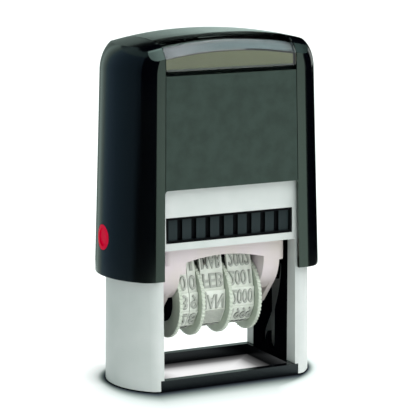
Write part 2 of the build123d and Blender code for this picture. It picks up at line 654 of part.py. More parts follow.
pieces = {
    "frame_shell": frame_shell(),
    "base_ring": base_ring(),
    "cam_wall_right": cam_wall(),
    "cam_wall_left": cam_wall().mirror(Plane.YZ),
    "ink_tray": ink_tray(),
    "ink_pad": ink_pad(),
    "cap_shell": cap_shell(),
    "front_panel": front_panel(),
    "rear_panel": front_panel().mirror(Plane.XZ),
    "cover_window": cover_window(),
    "label_card": label_card(),
    "yoke": yoke(),
    "return_spring": return_spring(),
    "lock_button_right": lock_button(),
    "lock_button_left": lock_button().mirror(Plane.YZ),
    "carrier_housing": carrier_housing(),
    "band_bridge": bridge_bar(0),
    "text_plate": text_plate(),
    "wheel_axle": wheel_axle(),
    "axle_collar": axle_collar(),
}
for wheel_name, (disc_x, band_x0, band_x1) in wheel_row().items():
    pieces[wheel_name + "_band"] = band(band_x0, band_x1)
    pieces[wheel_name + "_wheel"] = wheel(disc_x, band_x0, band_x1)

os.makedirs("parts", exist_ok=True)
for name, solid in pieces.items():
    export_step(solid, os.path.join("parts", name + ".step"))
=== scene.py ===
import json
import math

import bmesh
import bpy
from mathutils import Matrix, Vector

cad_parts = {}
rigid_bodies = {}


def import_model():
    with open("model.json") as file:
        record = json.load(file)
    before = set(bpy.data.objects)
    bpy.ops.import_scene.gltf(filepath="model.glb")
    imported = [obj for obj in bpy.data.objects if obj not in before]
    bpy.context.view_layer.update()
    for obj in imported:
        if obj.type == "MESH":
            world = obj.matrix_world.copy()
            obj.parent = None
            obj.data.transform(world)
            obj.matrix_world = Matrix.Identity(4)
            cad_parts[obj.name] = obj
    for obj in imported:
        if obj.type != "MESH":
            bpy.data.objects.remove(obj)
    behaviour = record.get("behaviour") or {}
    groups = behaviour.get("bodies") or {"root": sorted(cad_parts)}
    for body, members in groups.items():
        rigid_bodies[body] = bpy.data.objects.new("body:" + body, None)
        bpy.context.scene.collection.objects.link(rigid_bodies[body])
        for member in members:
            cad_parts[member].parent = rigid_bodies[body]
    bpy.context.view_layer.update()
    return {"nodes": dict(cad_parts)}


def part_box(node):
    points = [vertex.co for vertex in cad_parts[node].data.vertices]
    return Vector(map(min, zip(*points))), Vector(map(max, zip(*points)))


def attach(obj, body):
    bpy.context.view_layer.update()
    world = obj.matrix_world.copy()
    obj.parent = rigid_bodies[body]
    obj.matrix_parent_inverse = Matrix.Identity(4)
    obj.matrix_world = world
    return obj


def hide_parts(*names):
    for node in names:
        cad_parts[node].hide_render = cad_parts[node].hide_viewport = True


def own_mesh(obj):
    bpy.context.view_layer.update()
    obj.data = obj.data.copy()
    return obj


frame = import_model()
nodes = frame["nodes"]
MM = 0.001

# Standing frame: one moulding in pale grey ABS, with two hollow legs, the bay for the ink cartridge and
# the upper walls that guide the cap. Its mould is spark-eroded, so the skin is satin and finely grained.
FRAME_GREY = "#d4d6d5"
FRAME_GREY_DEEP = "#c9cdcb"
SKIN_GRAIN = 0.35            # mm between the grains of a spark-eroded skin, coarse enough to show
GRAIN_RELIEF = 0.5           # strength of the bump that grains make
SHINE_SPREAD = 0.15          # share by which the roughness varies with them
PATCH_DRIFT = 14.0           # mm across the patches in which a moulding's colour drifts
DRIFT_DETAIL = 3.0           # layers of finer noise in them
TONE_SPAN = (0.35, 0.65)     # values of a noise between which a colour passes from deep to light


def linear(code):
    """A colour written in sRGB hex, as linear RGBA."""
    channels = [int(code[i:i + 2], 16) / 255 for i in (1, 3, 5)]
    return [c / 12.92 if c <= 0.04045 else ((c + 0.055) / 1.055) ** 2.4 for c in channels] + [1.0]


def add(tree, kind, values=None, links=None, steps=(), **settings):
    """Adds a node: its settings, its input values and links by name or number, and a ramp's colour steps."""
    node = tree.nodes.new(kind)
    for name, value in settings.items():
        setattr(node, name, value)
    for name, value in (values or {}).items():
        node.inputs[name].default_value = value
    for name, source in (links or {}).items():
        tree.links.new(source, node.inputs[name])
    while steps and len(node.color_ramp.elements) < len(steps):
        node.color_ramp.elements.new(1.0)
    for i, (place, colour) in enumerate(steps):
        node.color_ramp.elements[i].position = place
        node.color_ramp.elements[i].color = colour
    return node


def mottled(tree, place, size, detail, deep, light):
    """A noise whose marks are about size mm across, and a colour that follows it from deep to light."""
    marks = add(tree, "ShaderNodeTexNoise", {"Scale": 1 / (size * MM), "Detail": detail}, {"Vector": place})
    shades = [(at, linear(code)) for at, code in zip(TONE_SPAN, (deep, light))]
    colour = add(tree, "ShaderNodeValToRGB", links={"Fac": marks.outputs["Fac"]}, steps=shades)
    return marks.outputs["Fac"], colour.outputs["Color"]


def plastic(name, light, deep, roughness, grain, depth,
            drift=PATCH_DRIFT, ior=1.5, specular=0.5, tint="#ffffff"):
    """A moulded plastic: its colour drifts over the piece, and grains depth mm deep break up its gloss."""
    material = bpy.data.materials.new(name)
    material.use_nodes = True
    tree = material.node_tree
    shader = tree.nodes["Principled BSDF"]
    shader.inputs["IOR"].default_value = ior
    shader.inputs["Specular IOR Level"].default_value = specular
    shader.inputs["Specular Tint"].default_value = linear(tint)
    place = add(tree, "ShaderNodeTexCoord").outputs["Object"]
    colour = mottled(tree, place, drift, DRIFT_DETAIL, deep, light)[1]
    tree.links.new(colour, shader.inputs["Base Color"])
    grains = add(tree, "ShaderNodeTexNoise", {"Scale": 1 / (grain * MM)}, {"Vector": place}).outputs["Fac"]
    ends = {"To Min": roughness * (1 - SHINE_SPREAD), "To Max": min(1.0, roughness * (1 + SHINE_SPREAD))}
    shine = add(tree, "ShaderNodeMapRange", ends, {"Value": grains})
    tree.links.new(shine.outputs["Result"], shader.inputs["Roughness"])
    relief = {"Strength": GRAIN_RELIEF, "Distance": depth * MM}
    bump = add(tree, "ShaderNodeBump", relief, {"Height": grains})
    tree.links.new(bump.outputs["Normal"], shader.inputs["Normal"])
    return material


def finish_in(material, *names):
    """Gives CAD nodes their material."""
    for name in names:
        slots = nodes[name].data.materials
        slots.clear()
        slots.append(material)


# Satin ABS: even and pale, with soft highlights that the grain breaks up.
satin_abs = plastic("satin_abs_pale_grey", FRAME_GREY, FRAME_GREY_DEEP, roughness=0.42, grain=SKIN_GRAIN,
                    depth=0.02)
finish_in(satin_abs, "frame_shell")

# Foot ring and cam walls: black ABS mouldings pressed into the frame. The ring stands on the paper round
# the print, and the walls hold the slot and the track that turn the printing unit over.
WORKS_BLACK = "#020206"
WORKS_BLACK_WORN = "#050609"
RING_SHEEN = "#dfeef2"       # tint of the ring's gloss

# Moulded ABS, black: a plain tool finish that sits deep in the stamp and gives back next to no light.
black_abs = plastic("moulded_abs_black", WORKS_BLACK_WORN, WORKS_BLACK, roughness=0.5, grain=SKIN_GRAIN,
                    depth=0.015, ior=1.2, specular=0.0)
finish_in(black_abs, "cam_wall_right", "cam_wall_left")

# Moulded ABS, black and polished: the ring slides over paper, so its tool is smooth and it catches the light.
ring_abs = plastic("smooth_abs_black", WORKS_BLACK_WORN, WORKS_BLACK, roughness=0.25, grain=SKIN_GRAIN,
                   depth=0.01, tint=RING_SHEEN)
finish_in(ring_abs, "base_ring")

# Ink cartridge: a drawer of black polystyrene that holds the ink pad face down, above the parked type. It
# slides out to be refilled, by the ribbed grips that are moulded into both of its ends.
TRAY_BLACK = "#020306"
TRAY_BLACK_WORN = "#06080b"
# painted highlight: the slate of the rib faces, where the light catches them; the grooves stay black
RIB_PAINTED_HIGHLIGHT = "#2b3335"
GRIP_RECESS = 0.9            # mm from the rim back to the faces of the ribs
GRIP_SKIN = 0.05             # mm in front of or behind that, within which the surface is a rib's face


def styrene_with_painted_rib_highlight(name, node):
    """Moulded polystyrene, black, with a painted highlight in slate on the faces of the ribs."""
    material = plastic(name, TRAY_BLACK_WORN, TRAY_BLACK, roughness=0.35, grain=SKIN_GRAIN, depth=0.01,
                       specular=0.06)
    tree = material.node_tree
    shader = tree.nodes["Principled BSDF"]
    black = shader.inputs["Base Color"].links[0].from_socket
    place = add(tree, "ShaderNodeTexCoord").outputs["Object"]
    depth = add(tree, "ShaderNodeSeparateXYZ", links={"Vector": place}).outputs["Y"]
    beside = add(tree, "ShaderNodeMath", links={0: depth}, operation="ABSOLUTE").outputs[0]
    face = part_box(node)[1].y - GRIP_RECESS * MM
    # Painted highlight: the faces of the ribs are mixed to slate.
    rib_face_highlight = add(tree, "ShaderNodeMath", {1: face, 2: GRIP_SKIN * MM}, {0: beside}, operation="COMPARE")
    mix = add(tree, "ShaderNodeMix", {7: linear(RIB_PAINTED_HIGHLIGHT)}, {0: rib_face_highlight.outputs[0], 6: black},
              data_type="RGBA")
    tree.links.new(mix.outputs[2], shader.inputs["Base Color"])
    return material


finish_in(styrene_with_painted_rib_highlight("moulded_polystyrene_rubbed", "ink_tray"), "ink_tray")

# Ink pad: a slab of felt soaked with ink, glued into the cartridge and facing down. Its edges are pressed
# in by the tray, and its face is a little crowned.
PAD_INK = "#14161d"
PAD_FIBRE = "#2b2f3b"
FIBRE = 0.25                 # mm across a felt fibre, thicker than a real one so that it shows
FIBRE_DETAIL = 4.0           # layers of finer noise in it
FIBRE_RELIEF = 0.8           # strength of the bump that the fibres make
PAD_ROUGHNESS = 0.85
PAD_SHEEN = 0.3
PAD_CUTS = 40                # cuts across each side of the slab
PAD_EDGE_ROUND = 0.8         # mm over which the face falls away to the edge
PAD_HOLLOW = 0.25            # mm that the face lies back at the edge
PAD_CLEAR = 0.05             # mm that the felt stays inside its solid


def ink_pad():
    """The slab of felt: full in the middle and pressed in towards its edges."""
    low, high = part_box("ink_pad")
    mesh = bpy.data.meshes.new("ink_pad_felt")
    shape = bmesh.new()
    bmesh.ops.create_cube(shape, size=1.0)
    middle = (low + high) / 2
    size = high - low - Vector((2, 2, 2)) * PAD_CLEAR * MM
    place = Matrix.Translation(middle) @ Matrix.Diagonal((*size, 1))
    bmesh.ops.transform(shape, matrix=place, verts=shape.verts)
    bmesh.ops.subdivide_edges(shape, edges=shape.edges, cuts=PAD_CUTS, use_grid_fill=True)
    for vertex in shape.verts:
        from_end = size.x / 2 - abs(vertex.co.x - middle.x)
        from_side = size.y / 2 - abs(vertex.co.y - middle.y)
        edge = min(from_end, from_side) / MM
        fall = max(0.0, 1 - edge / PAD_EDGE_ROUND) ** 2 * PAD_HOLLOW * MM
        share = (vertex.co.z - middle.z) / (size.z / 2)
        vertex.co.z -= fall * share
    for face in shape.faces:
        face.smooth = True
    shape.to_mesh(mesh)
    shape.free()
    return bpy.data.objects.new("ink_pad_felt", mesh)


def felt(name, fibre, ground):
    """Matted wool felt soaked with ink: dark, with short fibres that catch the light."""
    material = bpy.data.materials.new(name)
    material.use_nodes = True
    tree = material.node_tree
    shader = tree.nodes["Principled BSDF"]
    shader.inputs["Roughness"].default_value = PAD_ROUGHNESS
    shader.inputs["Sheen Weight"].default_value = PAD_SHEEN
    place = add(tree, "ShaderNodeTexCoord").outputs["Object"]
    fibres, colour = mottled(tree, place, FIBRE, FIBRE_DETAIL, ground, fibre)
    tree.links.new(colour, shader.inputs["Base Color"])
    relief = {"Strength": FIBRE_RELIEF, "Distance": FIBRE * MM}
    bump = add(tree, "ShaderNodeBump", relief, {"Height": fibres})
    tree.links.new(bump.outputs["Normal"], shader.inputs["Normal"])
    return material


pad = ink_pad()
pad.data.materials.append(felt("wool_felt_inked", PAD_FIBRE, PAD_INK))
bpy.context.collection.objects.link(pad)
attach(pad, "cartridge")
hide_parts("ink_pad")

# Printing unit: a pale acetal housing that turns over on two axle stubs. The print plate is glued on its
# top, and an arch at the front and back lets the fingers reach the setting wheels.
HOUSING_PALE = "#ddcfd5"
HOUSING_PALE_DEEP = "#d9cdc9"

# Moulded acetal: waxy, faintly pink white, with a wide soft highlight.
acetal = plastic("moulded_acetal_pale", HOUSING_PALE, HOUSING_PALE_DEEP, roughness=0.4, grain=SKIN_GRAIN,
                 depth=0.01)
finish_in(acetal, "carrier_housing")

# The bar inside the bands, and the collar that keeps the first wheel off the end plate, are the black ABS.
finish_in(black_abs, "band_bridge", "axle_collar")

# Print plate: rubber cut by laser, with a border, two rules and a window for the date bands. It is glued to
# the top of the housing, where it faces the ink pad while the unit is parked.
PLATE_RUBBER = "#6e6a66"
PLATE_RUBBER_DEEP = "#5a5653"
RUBBER_GRAIN = 0.2           # mm between the grains of cut or cast rubber

# Laser-cut rubber: matt and slightly powdery.
laser_rubber = plastic("laser_cut_rubber_grey", PLATE_RUBBER, PLATE_RUBBER_DEEP, roughness=0.8,
                       grain=RUBBER_GRAIN, depth=0.03, drift=4.0)
finish_in(laser_rubber, "text_plate")

# Wheel axle: a pin of drawn steel, on which the four setting wheels turn. It is cut from rod and pressed
# into the end plates of the housing.
STEEL = "#b9bcbf"
STEEL_DEEP = "#a4a7ab"
DRAW_LINE = 0.12             # mm between the lines that drawing leaves
DRAW_SPREAD = 0.06           # by how much the roughness varies between them


def metal(name, light, deep, roughness):
    """Drawn steel: bright, with faint lines that spread the highlight."""
    material = bpy.data.materials.new(name)
    material.use_nodes = True
    tree = material.node_tree
    shader = tree.nodes["Principled BSDF"]
    shader.inputs["Metallic"].default_value = 1.0
    place = add(tree, "ShaderNodeTexCoord").outputs["Object"]
    lines, colour = mottled(tree, place, DRAW_LINE, DRIFT_DETAIL, deep, light)
    tree.links.new(colour, shader.inputs["Base Color"])
    ends = {"To Min": roughness - DRAW_SPREAD, "To Max": roughness + DRAW_SPREAD}
    shine = add(tree, "ShaderNodeMapRange", ends, {"Value": lines})
    tree.links.new(shine.outputs["Result"], shader.inputs["Roughness"])
    return material


drawn_steel = metal("drawn_steel", STEEL, STEEL_DEEP, roughness=0.28)
finish_in(drawn_steel, "wheel_axle")

# Setting wheels: four toothed discs in olive-grey acetal, each in one piece with the drum that drives its
# band. A painted highlight makes the rims paler, where their toothed edges catch the light.
WHEEL_OLIVE = "#c8d0c0"
WHEEL_OLIVE_DEEP = "#b8c2b2"
RIM_PAINTED_HIGHLIGHT = "#d2d8cb"
RIM_WIDTH = 0.7              # mm of the rim that carries the painted highlight


def wheel_with_painted_rim(name, node):
    """Moulded acetal, olive grey, with a painted highlight that makes it paler round the rim."""
    low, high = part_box(node)
    centre = (low + high) / 2
    radius = (high.z - low.z) / 2
    material = plastic(name, WHEEL_OLIVE, WHEEL_OLIVE_DEEP, roughness=0.5, grain=SKIN_GRAIN, depth=0.015,
                       drift=5.0)
    tree = material.node_tree
    shader = tree.nodes["Principled BSDF"]
    olive = shader.inputs["Base Color"].links[0].from_socket
    place = add(tree, "ShaderNodeTexCoord").outputs["Object"]
    on_axle = {"Location": (0, -centre.y, -centre.z), "Scale": (0, 1, 1)}
    across = add(tree, "ShaderNodeMapping", on_axle, {"Vector": place}).outputs["Vector"]
    reach = add(tree, "ShaderNodeVectorMath", links={0: across}, operation="LENGTH").outputs["Value"]
    rim = {"From Min": radius - RIM_WIDTH * MM, "From Max": radius - RIM_WIDTH * MM / 2}
    # Painted highlight: paler towards the rim.
    rim_highlight = add(tree, "ShaderNodeMapRange", rim, {"Value": reach}).outputs["Result"]
    mix = add(tree, "ShaderNodeMix", {7: linear(RIM_PAINTED_HIGHLIGHT)}, {0: rim_highlight, 6: olive}, data_type="RGBA")
    tree.links.new(mix.outputs[2], shader.inputs["Base Color"])
    return material


acetal_painted_rim = wheel_with_painted_rim("moulded_acetal_olive_rubbed", "month_wheel")
WHEELS = ("day_tens", "day_ones", "month", "year")
for wheel in WHEELS:
    finish_in(acetal_painted_rim, wheel + "_wheel")

# Date bands: endless loops of cast rubber, each with thirteen small plates of raised type. The wheels drive
# them, and the bar under the print plate spreads them flat. The type is mirrored, so that it prints right
# way round, and it stands upside down at the front of the parked unit.
BAND_CREAM = "#f2f4ec"
BAND_CREAM_DEEP = "#e8ebe2"
TYPE_INK_AND_SHADE = "#1e211d"        # ink that stays round the feet of the type, and painted shade there
STATIONS = 13                # plates on a band
WHEEL_AXLE_Z = 23.7          # mm above the table, with the unit parked
DRUM_LOOP_R = 8.55           # mm from there to the outside of the band
NOSE_LOOP_R = 2.7            # mm, the outside of the band round the two edges of the bar
NOSE_HALF_FLAT = 2.2         # mm from the middle to the centres of those edges
NOSE_Z = 39.7                # mm above the table, the same centres
STATION_GAP = 0.15           # mm of the groove between two plates
STATION_HEIGHT = 0.08        # mm that a plate stands over the loop
TYPE_HEIGHT = 0.42           # mm that the type stands over its plate
CAP_HEIGHT_SHARE = 0.73      # height of a capital over the letter size
TYPE_TALL = 4.3              # mm, a capital
TYPE_WIDE = {"day_tens": 2.1, "day_ones": 2.1, "month": 6.6, "year": 7.0}      # mm, the most a text takes
TYPE_BOLD = 0.1              # mm that the strokes are widened by
TYPE_CURVE_STEPS = 3
TYPE_SINK = 0.25             # mm that a plate reaches into the loop
POINT_MERGE = 0.001          # mm within which points are made one
BAR_LINES = 10               # ribs on the month band's blank plate
BAR_LINE = 0.2               # mm across a rib
BAR_HEIGHT = 0.15            # mm that a rib stands over its plate
MONTHS = ("MAY", "APR", "MAR", "FEB", "JAN", "", "DEC", "NOV", "OCT", "SEP", "AUG", "JUL", "JUN")
FIRST_YEAR = 2004            # on the print face of the year band
FIRST_DIGIT = 3              # on those of the day bands
FOOT_INK_AND_SHADE = 0.0                   # the ink attribute at the foot of the type: old ink, with painted shade
TOP = 0.35                   # the same on top of the type
PLATE = 0.75                 # and on the bare rubber
CLEAN_FROM = 0.6             # its value from which the rubber shows no ink and no painted shade


def station_text(band, index):
    """What a plate of a band says, counted from the print face towards the front."""
    return {
        "day_tens": str((FIRST_DIGIT - index) % 4),
        "day_ones": str((FIRST_DIGIT - index) % 10),
        "month": MONTHS[index],
        "year": str(FIRST_YEAR - index),
    }[band]


def loop_points(steps=16):
    """The closed line of a band from the middle of the print face, seen from the side, as Y and Z in mm."""
    rise = NOSE_Z - WHEEL_AXLE_Z
    lean = math.atan2(rise, -NOSE_HALF_FLAT)
    edge = lean + math.acos((DRUM_LOOP_R - NOSE_LOOP_R) / math.hypot(rise, NOSE_HALF_FLAT))
    bends = (
        (-NOSE_HALF_FLAT, NOSE_Z, NOSE_LOOP_R, math.pi / 2, edge, steps),
        (0.0, WHEEL_AXLE_Z, DRUM_LOOP_R, edge, 3 * math.pi - edge, 4 * steps),
        (NOSE_HALF_FLAT, NOSE_Z, NOSE_LOOP_R, math.pi - edge, math.pi / 2, steps),
    )
    points = [(0.0, NOSE_Z + NOSE_LOOP_R)]
    for y, z, radius, start, end, count in bends:
        for i in range(count + 1):
            angle = start + (end - start) * i / count
            points.append((y + radius * math.cos(angle), z + radius * math.sin(angle)))
    return points


def slab(shape, half_x, y0, y1, z0, z1, ink_low, ink_high, layer):
    """Adds a block to a station, with its own ink values at the foot and at the top."""
    made = bmesh.ops.create_cube(shape, size=1.0)["verts"]
    size = (2 * half_x, y1 - y0, z1 - z0, 1)
    place = Matrix.Translation((0, (y0 + y1) / 2, (z0 + z1) / 2)) @ Matrix.Diagonal(size)
    bmesh.ops.transform(shape, matrix=place, verts=made)
    for vertex in made:
        vertex[layer] = ink_high if vertex.co.z > (z0 + z1) / 2 else ink_low


def type_mesh(text, wide):
    """Flat letters of a size in mm, mirrored for printing, as triangles."""
    curve = bpy.data.curves.new("type", "FONT")
    curve.body = text
    curve.size = TYPE_TALL / CAP_HEIGHT_SHARE
    curve.align_x = "CENTER"
    curve.offset = TYPE_BOLD
    curve.resolution_u = TYPE_CURVE_STEPS
    holder = bpy.data.objects.new("type", curve)
    mesh = bpy.data.meshes.new_from_object(holder)
    width = max(v.co.x for v in mesh.vertices) - min(v.co.x for v in mesh.vertices)
    middle = (max(v.co.y for v in mesh.vertices) + min(v.co.y for v in mesh.vertices)) / 2
    squeeze = min(1.0, wide / width)
    mesh.transform(Matrix.Diagonal((squeeze, -1, 1, 1)) @ Matrix.Translation((0, -middle, 0)))
    bpy.data.objects.remove(holder)
    bpy.data.curves.remove(curve)
    return mesh


def order_sides(shape):
    """Sorts edges and sides by their points, because an extrusion adds them in no fixed order."""
    points, flats = len(shape.verts), len(shape.faces)

    def rank(item):
        low, high = sorted(vertex.index for vertex in item.verts)[:2]
        return low * points + high

    shape.verts.index_update()
    shape.faces.index_update()
    shape.edges.sort(key=rank)
    shape.faces.sort(key=lambda face: face.index if len(face.verts) == 3 else flats + rank(face))


def station(band, index, width, length):
    """One plate with its raised type, lying on the plane z = 0, in mm."""
    shape = bmesh.new()
    layer = shape.verts.layers.float.new("ink")
    half = (length - STATION_GAP) / 2
    slab(shape, width / 2, -half, half, -TYPE_SINK, STATION_HEIGHT, PLATE, PLATE, layer)
    text = station_text(band, index)
    if text:
        flat = type_mesh(text, TYPE_WIDE[band])
        letters = bmesh.new()
        letters.from_mesh(flat)
        ink = letters.verts.layers.float.new("ink")
        bmesh.ops.remove_doubles(letters, verts=letters.verts, dist=POINT_MERGE)
        # The foot of the type gets the darkest value: old ink, with painted shade.
        for vertex in letters.verts:
            vertex.co.z = 0.0
            vertex[ink] = FOOT_INK_AND_SHADE
        raised = bmesh.ops.extrude_face_region(letters, geom=letters.faces[:])["geom"]
        for item in raised:
            if isinstance(item, bmesh.types.BMVert):
                item.co.z = STATION_HEIGHT + TYPE_HEIGHT
                item[ink] = TOP
        bmesh.ops.recalc_face_normals(letters, faces=letters.faces)
        order_sides(letters)
        letters.to_mesh(flat)
        letters.free()
        shape.from_mesh(flat)
    else:
        for i in range(BAR_LINES):
            y = half * ((2 * i + 1) / BAR_LINES - 1)
            slab(shape, TYPE_WIDE[band] / 2, y - BAR_LINE / 2, y + BAR_LINE / 2,
                 0, STATION_HEIGHT + BAR_HEIGHT, FOOT_INK_AND_SHADE, TOP, layer)
    mesh = bpy.data.meshes.new("%s_station_%02d" % (band, index))
    shape.to_mesh(mesh)
    shape.free()
    mesh.transform(Matrix.Diagonal((MM, MM, MM, 1)))
    return bpy.data.objects.new(mesh.name, mesh)


def geometry_tree(name, inputs):
    """An empty geometry tree with named inputs; returns it with its input and output nodes."""
    tree = bpy.data.node_groups.new(name, "GeometryNodeTree")
    tree.interface.new_socket("Geometry", in_out="INPUT", socket_type="NodeSocketGeometry")
    for label, kind in inputs:
        tree.interface.new_socket(label, in_out="INPUT", socket_type=kind)
    tree.interface.new_socket("Geometry", in_out="OUTPUT", socket_type="NodeSocketGeometry")
    return tree, tree.nodes.new("NodeGroupInput"), tree.nodes.new("NodeGroupOutput")


def station_tree():
    """Sets the plates along the loop, each square to it, and lays them on the loop itself."""
    inputs = (("Stations", "NodeSocketInt"), ("Plates", "NodeSocketCollection"),
              ("Loop", "NodeSocketObject"), ("Material", "NodeSocketMaterial"))
    tree, given, result = geometry_tree("band_stations", inputs)
    line = add(tree, "GeometryNodeMeshToCurve", links={"Mesh": given.outputs["Geometry"]})
    spaced = add(tree, "GeometryNodeResampleCurve",
                 links={"Curve": line.outputs["Curve"], "Count": given.outputs["Stations"]})
    along = add(tree, "GeometryNodeInputTangent")
    outward = add(tree, "ShaderNodeVectorMath", {1: (1, 0, 0)}, {0: along.outputs["Tangent"]},
                  operation="CROSS_PRODUCT")
    turn = add(tree, "FunctionNodeAlignRotationToVector", links={"Vector": outward.outputs["Vector"]},
               axis="Z", pivot_axis="X")
    plates = add(tree, "GeometryNodeCollectionInfo", {"Separate Children": True, "Reset Children": True},
                 {"Collection": given.outputs["Plates"]})
    number = add(tree, "GeometryNodeInputIndex")
    placed = add(tree, "GeometryNodeInstanceOnPoints", {"Pick Instance": True},
                 {"Points": spaced.outputs["Curve"], "Instance": plates.outputs["Instances"],
                  "Instance Index": number.outputs["Index"], "Rotation": turn.outputs["Rotation"]})
    real = add(tree, "GeometryNodeRealizeInstances", links={"Geometry": placed.outputs["Instances"]})
    rubber = add(tree, "GeometryNodeObjectInfo", links={"Object": given.outputs["Loop"]})
    joined = add(tree, "GeometryNodeJoinGeometry", links={"Geometry": rubber.outputs["Geometry"]})
    tree.links.new(real.outputs["Geometry"], joined.inputs["Geometry"])
    shown = add(tree, "GeometryNodeSetMaterial",
                links={"Geometry": joined.outputs["Geometry"], "Material": given.outputs["Material"]})
    tree.links.new(shown.outputs["Geometry"], result.inputs["Geometry"])
    return tree


def made_by(tree, base, values, name):
    """Runs a geometry tree on a base object and returns the result as a plain mesh object."""
    bpy.context.collection.objects.link(base)
    modifier = base.modifiers.new(name, "NODES")
    modifier.node_group = tree
    for item in tree.interface.items_tree:
        if item.in_out == "INPUT" and item.name in values:
            modifier[item.identifier] = values[item.name]
    bpy.context.view_layer.update()
    mesh = bpy.data.meshes.new_from_object(base.evaluated_get(bpy.context.evaluated_depsgraph_get()))
    bpy.data.objects.remove(base)
    made = bpy.data.objects.new(name, mesh)
    bpy.context.collection.objects.link(made)
    return made


def merged_copy(node):
    """The CAD node's shape as one connected mesh with a clear ink attribute."""
    shape = bmesh.new()
    shape.from_mesh(nodes[node].data)
    layer = shape.verts.layers.float.new("ink")
    bmesh.ops.remove_doubles(shape, verts=shape.verts, dist=POINT_MERGE * MM)
    for vertex in shape.verts:
        vertex[layer] = PLATE
    mesh = bpy.data.meshes.new(node + "_loop")
    shape.to_mesh(mesh)
    shape.free()
    return bpy.data.objects.new(mesh.name, mesh)


def line_object(points, x):
    """A closed line of edges in a plane across X."""
    mesh = bpy.data.meshes.new("band_line")
    places = [(x, y * MM, z * MM) for y, z in points]
    mesh.from_pydata(places, [(i, (i + 1) % len(places)) for i in range(len(places))], [])
    return bpy.data.objects.new("band_line", mesh)


def band_rubber():
    """Cast rubber, cream, matt: paler where the type is rubbed, dark at its foot with old ink and painted
    shade.
    """
    material = plastic("cast_rubber_cream", BAND_CREAM, BAND_CREAM_DEEP, roughness=0.62, grain=RUBBER_GRAIN,
                       depth=0.02, drift=3.0)
    tree = material.node_tree
    shader = tree.nodes["Principled BSDF"]
    cream = shader.inputs["Base Color"].links[0].from_socket
    # The ink attribute carries old ink, and painted shade at the feet of the type.
    ink = add(tree, "ShaderNodeAttribute", attribute_name="ink")
    clean = add(tree, "ShaderNodeMapRange", {"From Max": CLEAN_FROM}, {"Value": ink.outputs["Fac"]})
    mix = add(tree, "ShaderNodeMix", {6: linear(TYPE_INK_AND_SHADE)}, {0: clean.outputs["Result"], 7: cream},
              data_type="RGBA")
    tree.links.new(mix.outputs[2], shader.inputs["Base Color"])
    return material


cream_rubber = band_rubber()
stations = station_tree()
band_line = loop_points()
line_length = sum(math.dist(a, b) for a, b in zip(band_line, band_line[1:] + band_line[:1]))
plate_length = line_length / STATIONS
for band in WHEELS:
    low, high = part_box(band + "_band")
    width = (high.x - low.x) / MM
    plates = bpy.data.collections.new(band + "_plates")
    for index in range(STATIONS):
        plates.objects.link(station(band, index, width, plate_length))
    loop = merged_copy(band + "_band")
    values = {"Stations": STATIONS, "Plates": plates, "Loop": loop, "Material": cream_rubber}
    rubber_band = made_by(stations, line_object(band_line, (low.x + high.x) / 2), values, band + "_date_band")
    bpy.data.objects.remove(loop)
    for plate in list(plates.objects):
        bpy.data.objects.remove(plate)
    bpy.data.collections.remove(plates)
    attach(rubber_band, "carrier")
    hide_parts(band + "_band")

# Yoke: a bracket of black ABS, screwed under the roof of the cap. Its two arms carry the ends of the flip
# axle, so that the printing unit goes down with the cap.
finish_in(black_abs, "yoke")

# Return spring: a coil of spring steel between the frame's deck and the yoke, with closed ends. It is
# pressed flat as the cap goes down.
SPRING_WIRE = 1.2            # mm
SPRING_TURNS = 10
SPRING_RESOLUTION = 28       # points on one turn
WIRE_SIDES = 10


